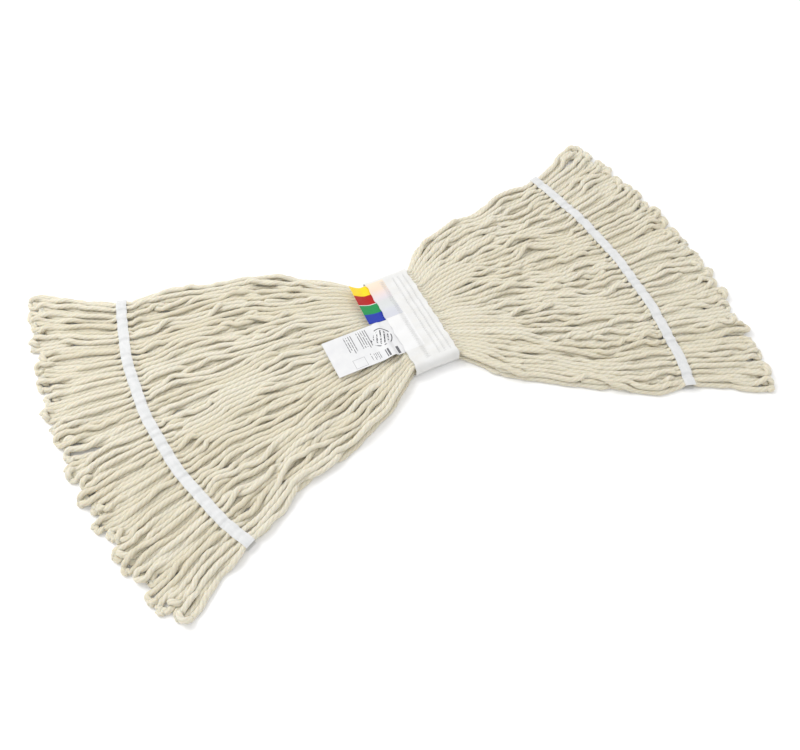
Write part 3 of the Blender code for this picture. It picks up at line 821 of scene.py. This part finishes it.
def band_lift(x, y, top):
    """How far the headband's cloth stands out: pulled in at the seams, loose between them."""
    lift = 0.00035 * np.sin(2 * math.pi * (y / 0.047 + x / 0.09 + 0.2))
    lift += 0.00025 * np.sin(2 * math.pi * (y / 0.021 - x / 0.05))
    rim = 1 + 1.5 * np.sin(2 * math.pi * (y / 0.033 + np.sign(x) * 0.3))
    lift += 0.00030 * smooth(np.abs(x), 0.022, BAND_EDGE) * rim
    held = smooth(SEAM_REACH + 0.004 - np.abs(y), 0.0, 0.006)
    for seam, width, pitch in SEAM_ROWS:
        away = np.maximum(np.abs(x - seam) - width / 2 + 0.0006, 0)
        depth = 0.00010 + 0.00008 * np.cos(math.pi * y / pitch)
        lift -= held * depth * np.exp(-((away / 0.0013) ** 2))
    return lift * np.where(top, 1.0, 0.5)


def strip_path():
    """Points (y, z) along the wrapped strip's middle, the outward angle and the way along at each."""
    half = STRIP_THICKNESS / 2
    reach = BAND_HALF_WIDTH - half - STRIP_CORNER
    low, top = half, BAND_TOP - half
    inner = low + STRIP_THICKNESS + 0.0003
    points, angles = [(STRIP_LAP / 2, inner)], [270.0]
    corners = ((-reach, inner, 270, 180), (-reach, top, 180, 90), (reach, top, 90, 0), (reach, low, 0, -90))
    for y, z, start, end in corners:
        centre = z + STRIP_CORNER if z < 0.01 else z - STRIP_CORNER
        for angle in np.linspace(start, end, 13):
            radians = math.radians(angle)
            points.append((y + STRIP_CORNER * math.cos(radians), centre + STRIP_CORNER * math.sin(radians)))
            angles.append(angle)
    points.append((-STRIP_LAP / 2, low))
    angles.append(-90.0)
    points, angles = np.array(points), np.radians(angles)
    way = np.concatenate([[0], np.cumsum(np.linalg.norm(np.diff(points, axis=0), axis=1))])
    even = np.linspace(0, way[-1], 232)
    spaced = np.stack([np.interp(even, way, points[:, k]) for k in (0, 1)], -1)
    return spaced, np.interp(even, way, angles), even


def way_at_middle():
    """The way along the strip where it crosses the middle of the headband's top."""
    path, _, way = strip_path()
    top = path[:, 1] > 0.012
    return float(np.interp(0, path[top, 0], way[top]))


def build_headband(material):
    path, angle, way = strip_path()
    x = np.linspace(-BAND_HALF_LENGTH, BAND_HALF_LENGTH, 57)
    y = path[:, 0]
    top = (path[:, 1] > 0.012)[None]
    grid_x, grid_y = np.meshgrid(x, y, indexing="ij")
    rim = smooth(np.abs(grid_x), 0.018, 0.028) * np.sign(grid_x)
    frill = 0.0005 * np.sin(2 * math.pi * (way / 0.031))[None]
    frill = frill + 0.0004 * np.sin(2 * math.pi * (way / 0.0137) + 1.1)[None]
    lift = band_lift(grid_x, grid_y, top)
    outward = np.stack([np.zeros_like(angle), np.cos(angle), np.sin(angle)], -1)[None]
    height = np.broadcast_to(path[:, 1], grid_x.shape)
    middle = np.stack([HUB[0] + grid_x + rim * (frill - 0.0004), HUB[1] + grid_y, height], -1)
    middle = middle + outward * lift[..., None]
    uv = np.stack([grid_x, np.broadcast_to(way, grid_x.shape)], -1)
    normal = np.broadcast_to(outward, middle.shape)
    middle[..., 2] = np.maximum(middle[..., 2], STRIP_THICKNESS / 2)
    mesh = slab("headband_cloth", middle[:, ::-1], normal[:, ::-1], STRIP_THICKNESS, uv[:, ::-1])
    piece = add_piece("headband_cloth", mesh, material)
    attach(piece, "headband")
    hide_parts("headband_strip")


def build_headband_stitches(material):
    for number, (seam, width, pitch) in enumerate(SEAM_ROWS, 1):
        for kind, base, sign in (("needle", BAND_TOP, 1), ("bobbin", 0.0, -1)):
            first = -SEAM_REACH if sign > 0 else -STRIP_LAP / 2 + 0.002
            y = np.arange(first, SEAM_REACH, pitch / 2)
            x = seam + np.where(np.arange(len(y)) % 2, width / 2, -width / 2)
            z = base + band_lift(x, y, True) * (1.0 if sign > 0 else 0.0)
            z = z + (0.00010 if sign > 0 else 0.00040)
            spots = np.stack([HUB[0] + x, HUB[1] + y, z], -1)
            name = f"headband_{kind}_stitches_{number}"
            piece = stitches(name, list(zip(spots[:-1], spots[1:])), sign * 0.00022, 0.00023, material)
            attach(piece, "headband")
            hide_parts(f"headband_{kind}_thread_{number}")


# ---------------- tail tapes
def crest_profile(routes, side, shares):
    """Height of the strands' crests under a tail tape, at shares along it."""
    at = [LEG_POINTS * 2 - 2, routes.shape[1] - 1 - (LEG_POINTS * 2 - 2)]
    spots = routes[:, at].reshape(-1, 3)
    spots = spots[(spots[:, 0] - HUB[0]) * SIGN[side] > 0]
    line = tape_point(side, shares, np.zeros_like(shares))[0]
    away = np.linalg.norm(line[:, None] - spots[None, :, :2], axis=-1)
    dome = np.sqrt(np.maximum(0, 1 - (away / 0.0042) ** 2)) * 0.0019 + spots[None, :, 2]
    dome = np.where(away < 0.0042, dome, 0.0)
    crest = dome.max(1)
    kernel = np.hanning(9)
    crest = np.convolve(np.pad(crest, 4, mode="edge"), kernel / kernel.sum(), "valid")
    return np.maximum(crest, 0.0078)


TAPE_SAMPLES = 380


def tape_surface(side, routes, layer):
    """Grid of middle points of a tail tape, (across, along, 3), and the way along it."""
    share = np.linspace(-1, 1, TAPE_SAMPLES)
    out = np.linspace(-TAPE_WIDTH / 2, TAPE_WIDTH / 2, 13)
    crest = crest_profile(routes, side, share)
    grid_out, grid_share = np.meshgrid(out, share, indexing="ij")
    edge = np.abs(grid_out) / (TAPE_WIDTH / 2)
    wobble = 0.0005 * np.sin(2 * math.pi * (2.3 * grid_share + 0.1))
    wobble = wobble + 0.0002 * np.sin(2 * math.pi * 9.7 * grid_share)
    plan, _ = tape_point(side, grid_share, grid_out + wobble)
    if layer == "upper":
        seam = np.exp(-(((np.abs(grid_out) - 0.0042) / 0.0007) ** 2))
        height = crest[None] + 0.00045 - 0.00030 * edge**6 - 0.00022 * seam
    else:
        height = 0.00105 + 0.0001 * np.sin(2 * math.pi * 17 * grid_share)
    middle = np.concatenate([plan, np.broadcast_to(height, plan.shape[:2])[..., None]], -1)
    return middle, grid_out, grid_share


def build_tapes(side, routes, cloth, thread):
    for layer, kind in (("upper", "needle"), ("lower", "bobbin")):
        middle, grid_out, grid_share = tape_surface(side, routes, layer)
        normal = grid_normals(middle)
        if normal[..., 2].mean() < 0:
            middle, grid_out, grid_share = middle[::-1], grid_out[::-1], grid_share[::-1]
            normal = grid_normals(middle)
        uv = np.stack([grid_out, (grid_share + 1) * TAPE_LENGTH / 2], -1)
        name = f"{side}_tape_{layer}_cloth"
        piece = add_piece(name, slab(name, middle, normal, 0.0007, uv), cloth)
        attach(piece, f"{side}_skirt")
        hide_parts(f"{side}_tape_{layer}")
        for row, out_at in (("inner", -0.0042), ("outer", 0.0042)):
            pick = int(np.argmin(np.abs(grid_out[:, 0] - out_at)))
            line = middle[pick]
            way = np.concatenate([[0], np.cumsum(np.linalg.norm(np.diff(line, axis=0), axis=1))])
            spots = np.arange(0.0015, way[-1] - 0.0015, 0.0031)
            point = np.stack([np.interp(spots, way, line[:, k]) for k in range(3)], -1)
            up = 0.00042 if layer == "upper" else -0.00042
            point[:, 2] += up
            gap = (point[1:] - point[:-1]) * 0.08
            ends = list(zip(point[:-1] + gap, point[1:] - gap))
            name = f"{side}_tape_{row}_{kind}_stitches"
            piece = stitches(name, ends, math.copysign(0.00016, up), 0.00019, thread)
            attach(piece, f"{side}_skirt")
            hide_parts(f"{side}_tape_{row}_{kind}_thread")


# ---------------- label and ribbon
def strand_tops(routes, x, y):
    """Height of the strands' tops over plan points, from the settled routes."""
    spots = routes[(routes[..., 0] < HUB[0] - 0.02) & (routes[..., 0] > HUB[0] - 0.13)]
    grid = np.stack([x, y], -1).reshape(-1, 2)
    top = np.zeros(len(grid))
    for k in range(0, len(grid), 64):
        away = np.linalg.norm(grid[k : k + 64, None] - spots[None, :, :2], axis=-1)
        crown = np.sqrt(np.maximum(0, 0.003**2 - away**2)) * 0.94
        dome = np.where(away < 0.003, spots[None, :, 2] + crown, 0)
        top[k : k + 64] = dome.max(1)
    return top.reshape(x.shape)


def build_flap(name, y_range, free_length, rise, routes, material):
    """A sewn-in sheet: its root from under the headband, and its flap that lies on the strands."""
    x_root = np.linspace(-0.002, -LIFT_X, 22)
    x_flap = np.linspace(-LIFT_X, -BAND_EDGE - free_length, 60 if free_length > 0.05 else 24)
    y = np.linspace(*y_range, 34)
    x_all = np.concatenate([x_root[:-1], x_flap])
    grid_x, grid_y = np.meshgrid(x_all, y, indexing="ij")
    tops = strand_tops(routes, HUB[0] + grid_x, HUB[1] + grid_y)
    line = tops.max(1)
    kernel = np.hanning(13)
    line = np.convolve(np.pad(line, 6, mode="edge"), kernel / kernel.sum(), "valid") + 0.0003
    height = ROOT_Z + (LIFT_Z - ROOT_Z) * smooth(-x_all, BAND_EDGE, LIFT_X)
    height = height + (np.maximum(line, LIFT_Z) - LIFT_Z) * smooth(-x_all, LIFT_X, LIFT_X + 0.011)
    past = np.maximum(-x_all - LIFT_X, 0) / (BAND_EDGE + free_length - LIFT_X)
    raised = rise(past[:, None], ((y - y_range[0]) / (y_range[1] - y_range[0]))[None])
    wave_y = 0.00025 * np.sin(2 * math.pi * (grid_y / 0.061 + 0.2)) * smooth(-grid_x, LIFT_X, 0.06)
    middle = np.stack([HUB[0] + grid_x, HUB[1] + grid_y, height[:, None] + raised + wave_y], -1)
    uv = np.stack([-grid_x - BAND_EDGE, grid_y - y_range[0]], -1)
    cut = len(x_root)
    for part, rows in (("root", slice(0, cut)), ("flap", slice(cut - 1, None))):
        piece_middle = middle[rows]
        normal = grid_normals(middle)[rows]
        turned = normal[..., 2].mean() < 0
        grids = [g[::-1] if turned else g for g in (piece_middle, -normal if turned else normal, uv[rows])]
        title = f"{name}_{part}_cloth"
        piece = add_piece(title, slab(title, grids[0], grids[1], 0.0003, grids[2]), material)
        if part == "root":
            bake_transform(piece)
            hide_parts(f"{name}_sewn_end")
        else:
            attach(piece, name)
            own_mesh(piece)
            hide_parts(f"{name}_flap")


def label_rise(t, across):
    """The label bows up past its fold, more at its near edge, and then lies down."""
    bow = np.exp(-(((t - 0.09) / 0.11) ** 2)) * smooth(t, 0.0, 0.08)
    return bow * (0.0016 + 0.0022 * (1 - across)) + 0.0004 * np.sin(math.pi * np.clip(t, 0, 1))


def tab_rise(t, across):
    """The ribbon's free edge stands up, most at its far corner."""
    return np.clip(t, 0, 1.05) ** 1.3 * (0.0028 + 0.0080 * across)


# ---------------- cloth, print and thread
def weave(s, u, v, pitch):
    """Height of a plain weave, from 0 to 1, with u and v in metres."""
    turns = 2 * math.pi / pitch
    warp = s.math("SINE", s.mul(u, turns))
    weft = s.math("SINE", s.mul(v, turns))
    return s.math("MULTIPLY_ADD", s.mul(warp, weft), 0.5, 0.5)


def inside(s, value, low, high):
    return s.mul(s.above(value, low), s.below(value, high))


def either(s, *masks):
    total = masks[0]
    for mask in masks[1:]:
        total = s.math("MAXIMUM", total, mask)
    return total


def headband_material():
    """White cloth that lets the label's and the ribbon's sewn ends show through faintly."""
    s = Shader("headband cloth", (0.86, 0.86, 0.85), 0.8, sheen=0.1)
    u, v = s.uv()
    y = s.sub(v, way_at_middle())
    cloud = s.noise(s.scaled(u, 60.0, v, 60.0), 1.0, 3.0)
    base = s.ramp(cloud, [(0.3, (0.68, 0.675, 0.655)), (0.7, (0.735, 0.735, 0.73))])
    stripes = s.noise(s.scaled(u, 12.0, v, 190.0), 1.0, 1.0)
    base = s.mix(s.mul(inside(s, stripes, 0.0, 0.44), 0.14), base, (0.74, 0.71, 0.64))
    over_ribbon = s.mul(inside(s, u, -0.0285, -0.0050), inside(s, y, TAB_Y[0], TAB_Y[1]))
    share = s.math("DIVIDE", s.sub(y, TAB_Y[0]), TAB_Y[1] - TAB_Y[0])
    tints = [
        (0.0, (0.55, 0.565, 0.64)),
        (0.2, (0.565, 0.58, 0.64)),
        (0.3, (0.58, 0.605, 0.61)),
        (0.46, (0.595, 0.61, 0.61)),
        (0.54, (0.66, 0.60, 0.64)),
        (0.68, (0.74, 0.60, 0.57)),
        (0.78, (0.80, 0.63, 0.49)),
        (1.0, (0.82, 0.68, 0.52)),
    ]
    base = s.mix(s.mul(over_ribbon, 0.80), base, s.ramp(share, tints))
    over_label = s.mul(inside(s, u, -0.0285, -0.0030), inside(s, y, LABEL_Y[0], LABEL_Y[1]))
    base = s.mix(s.mul(over_label, 0.60), base, (0.78, 0.78, 0.785))
    for seam, width, pitch in SEAM_ROWS:
        beat = s.math("DIVIDE", y, pitch)
        for sign, shift in ((-1, 0.0), (1, 0.5)):
            du = s.math("DIVIDE", s.sub(u, seam + sign * width / 2), 0.00055)
            dv = s.sub(s.math("FRACT", s.add(beat, shift)), 0.5)
            dv = s.math("DIVIDE", s.mul(dv, pitch), 0.00065)
            far = s.add(s.mul(du, du), s.mul(dv, dv))
            sewn = s.below(s.math("ABSOLUTE", y), SEAM_REACH)
            # Painted shade: a small dark dot at each needle hole along the seam's zigzag.
            hole = s.mul(s.below(far, 1.0), sewn)
            base = s.mix(s.mul(hole, 0.16), base, (0.42, 0.42, 0.43))
    s.colour(base)
    grain = s.noise(s.scaled(u, 900.0, v, 900.0), 1.0, 2.0)
    height = s.add(s.mul(weave(s, u, v, 0.0011), 0.6), s.mul(grain, 0.7))
    s.bump(height, 0.00018, 0.7)
    return s.material


def tape_material():
    """White woven tape: fine ribs along it and picks across it."""
    s = Shader("woven tape", (0.86, 0.86, 0.86), 0.75, sheen=0.08)
    u, v = s.uv()
    cloud = s.noise(s.scaled(u, 150.0, v, 70.0), 1.0, 2.0)
    base = s.ramp(cloud, [(0.3, (0.69, 0.70, 0.70)), (0.7, (0.77, 0.77, 0.77))])
    ribs = s.math("MULTIPLY_ADD", s.math("SINE", s.mul(u, 2 * math.pi / 0.0009)), 0.5, 0.5)
    height = s.add(s.mul(ribs, 0.6), s.mul(weave(s, u, v, 0.0012), 0.8))
    # Painted shade: the colour is darkened where the ribs and the weave are low, in their hollows.
    s.colour(s.mix(0.22, base, s.ramp(height, [(0.0, (0.6, 0.6, 0.58)), (0.9, (1.0, 1.0, 1.0))]), "MULTIPLY"))
    s.bump(height, 0.0003, 0.8)
    return s.material


def thread_material():
    s = Shader("sewing thread", (0.70, 0.70, 0.69), 0.45, sheen=0.2)
    u, v = s.uv()
    twist = s.math("SINE", s.add(s.mul(u, 4 * math.pi), s.mul(v, 9000.0)))
    # Painted shade: the thread is darker in the grooves of its twist and lighter on the crests.
    shade = s.math("MULTIPLY_ADD", twist, 0.5, 0.5)
    s.colour(s.ramp(shade, [(0.0, (0.72, 0.72, 0.71)), (1.0, (0.82, 0.82, 0.81))]))
    s.bump(twist, 0.00006, 0.6)
    return s.material


def ribbon_material():
    """Satin ribbon in four colour fields across it, with a thin white line between two of them."""
    s = Shader("colour ribbon", (0.2, 0.4, 0.3), 0.45, sheen=0.1)
    u, v = s.uv()
    share = s.math("DIVIDE", v, TAB_Y[1] - TAB_Y[0])
    stops = [
        (0.0, (0.015, 0.040, 0.37)),
        (0.235, (0.012, 0.27, 0.075)),
        (0.475, (0.76, 0.78, 0.76)),
        (0.490, (0.43, 0.005, 0.005)),
        (0.745, (0.95, 0.68, 0.012)),
    ]
    fields = s.ramp(share, stops, "CONSTANT")
    cloud = s.noise(s.scaled(u, 300.0, v, 300.0), 1.0, 2.0)
    shade = s.ramp(cloud, [(0.3, (0.72, 0.72, 0.72)), (0.7, (1.0, 1.0, 1.0))])
    s.colour(s.mix(0.25, fields, shade, "MULTIPLY"))
    s.bump(weave(s, u, v, 0.0006), 0.00008, 0.5)
    return s.material


def print_lines(s, u, v, area, pitch, seed):
    """Thin bars that run across the label, ragged at their ends and broken like words."""
    u_low, u_high, v_low, v_high = area
    beat = s.math("DIVIDE", s.sub(u, u_low), pitch)
    row = s.math("FLOOR", beat)
    thin = s.below(s.math("FRACT", beat), 0.34)
    end = s.noise(s.join(s.mul(row, 7.3), seed, 0.0), 1.0, 0.0)
    low = s.math("MULTIPLY_ADD", end, (v_high - v_low) * 0.5, v_low - (v_high - v_low) * 0.12)
    words = s.noise(s.scaled(row, 5.1, v, 420.0, seed), 1.0, 1.0)
    length = s.mul(s.above(v, low), s.below(v, v_high))
    box = s.mul(inside(s, u, u_low, u_high), length)
    return s.mul(s.mul(box, thin), s.above(words, 0.40))


def print_mark(s, u, v):
    """A broken ring with slanted strokes inside it."""
    du, dv = s.sub(u, 0.0165), s.sub(v, 0.0310)
    far = s.math("SQRT", s.add(s.mul(du, du), s.mul(dv, dv)))
    gaps = s.noise(s.scaled(du, 150.0, dv, 150.0, 3.0), 1.0, 0.0)
    ring = s.mul(inside(s, far, 0.0118, 0.0130), s.above(gaps, 0.42))
    slant = s.mul(s.add(du, s.mul(dv, 0.35)), 1 / 0.0046)
    bars = s.below(s.math("FRACT", slant), 0.36)
    broken = s.noise(s.scaled(du, 520.0, dv, 420.0, 7.0), 1.0, 0.0)
    strokes = s.mul(s.mul(s.below(far, 0.0098), bars), s.above(broken, 0.44))
    return either(s, ring, strokes)


def label_material():
    """White satin label with generic print: a ring, bars for text, a bar pattern and an empty square."""
    s = Shader("label cloth", (0.88, 0.88, 0.88), 0.5, sheen=0.05)
    u, v = s.uv()
    text = either(
        s,
        print_lines(s, u, v, (0.0295, 0.0435, 0.0215, 0.0500), 0.0028, 1.0),
        print_lines(s, u, v, (0.0485, 0.0595, 0.0220, 0.0490), 0.0028, 5.0),
        print_lines(s, u, v, (0.0275, 0.0345, 0.0030, 0.0140), 0.0021, 9.0),
        print_lines(s, u, v, (0.0375, 0.0396, 0.0030, 0.0160), 0.0021, 4.0),
    )
    cell = s.math("FLOOR", s.mul(u, 1 / 0.0011))
    on = s.above(s.noise(s.join(s.mul(cell, 3.7), 0.0, 0.0), 1.0, 0.0), 0.5)
    code = s.mul(on, s.mul(inside(s, u, 0.0045, 0.0225), inside(s, v, 0.0015, 0.0125)))
    outer = s.mul(inside(s, u, 0.0455, 0.0605), inside(s, v, 0.0020, 0.0150))
    inner = s.mul(inside(s, u, 0.0461, 0.0599), inside(s, v, 0.0026, 0.0144))
    square = s.sub(outer, inner)
    printed = either(s, print_mark(s, u, v), s.mul(text, 0.85), s.mul(code, 0.9), s.mul(square, 0.42))
    ink = s.mul(printed, s.above(u, 0.0))
    cloud = s.noise(s.scaled(u, 90.0, v, 90.0), 1.0, 2.0)
    base = s.ramp(cloud, [(0.3, (0.67, 0.67, 0.68)), (0.7, (0.72, 0.72, 0.72))])
    s.colour(s.mix(ink, base, (0.06, 0.06, 0.07)))
    s.bump(weave(s, u, v, 0.0005), 0.00005, 0.4)
    return s.material


# ---------------- the whole scene
stage()
camera()
yarn = yarn_material()
thread = thread_material()
routes = build_yarn(yarn)
build_core(routes, yarn)
tape_cloth = tape_material()
for side in SIDES:
    build_tapes(side, routes, tape_cloth, thread)
build_headband(headband_material())
build_headband_stitches(thread)
build_flap("label", LABEL_Y, 0.0830, label_rise, routes, label_material())
build_flap("colour_tab", TAB_Y, 0.0215, tab_rise, routes, ribbon_material())
